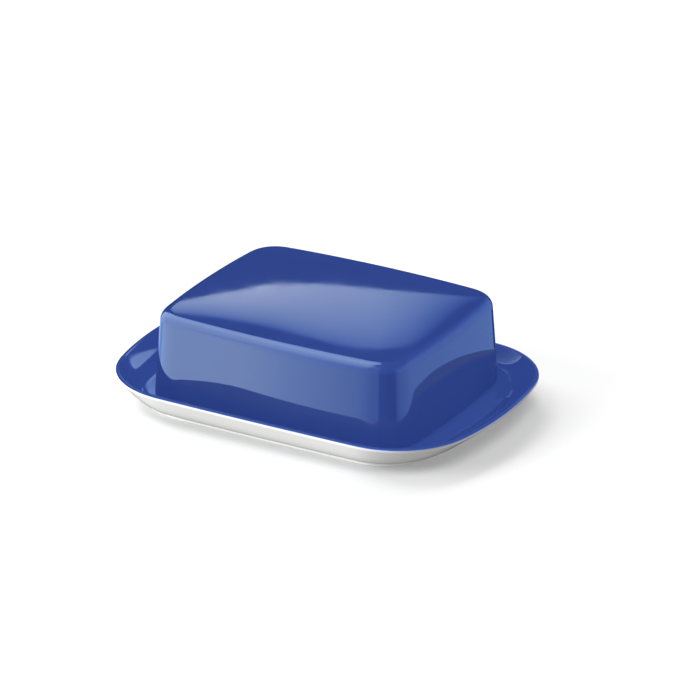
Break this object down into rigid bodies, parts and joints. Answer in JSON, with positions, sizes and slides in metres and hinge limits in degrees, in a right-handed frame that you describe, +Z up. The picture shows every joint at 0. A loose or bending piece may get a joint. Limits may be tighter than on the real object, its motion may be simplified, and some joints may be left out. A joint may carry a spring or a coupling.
{
  "type": "butter dish",
  "caption": "Oblong glazed ceramic butter dish: a shallow dish with a wide flared rim on a foot ring, and a rectangular lift-off lid with bowed walls.",
  "frame": {"origin": "centre of the foot ring's bearing plane, which is the bottom of the object", "axes": "+X along the dish's length, +Y across its width, +Z up, the way the lid lifts"},
  "size_m": [0.1894, 0.1336, 0.0492],
  "materials": {
    "white_ceramic": "white porcelain under a clear gloss glaze; the foot ring's bearing face and the lid's lower edge are left unglazed",
    "blue_glaze": "opaque deep blue high-gloss glaze"
  },
  "bodies": {
    "dish": {"dish_body": "white_ceramic", "dish_glaze": "blue_glaze"},
    "lid": {"lid_body": "white_ceramic", "lid_glaze": "blue_glaze"}
  },
  "joints": [
    {"name": "lid_lift", "type": "slide", "parent": "dish", "child": "lid", "axis": [0, 0, 1], "range_m": [0, 0.12]}
  ]
}
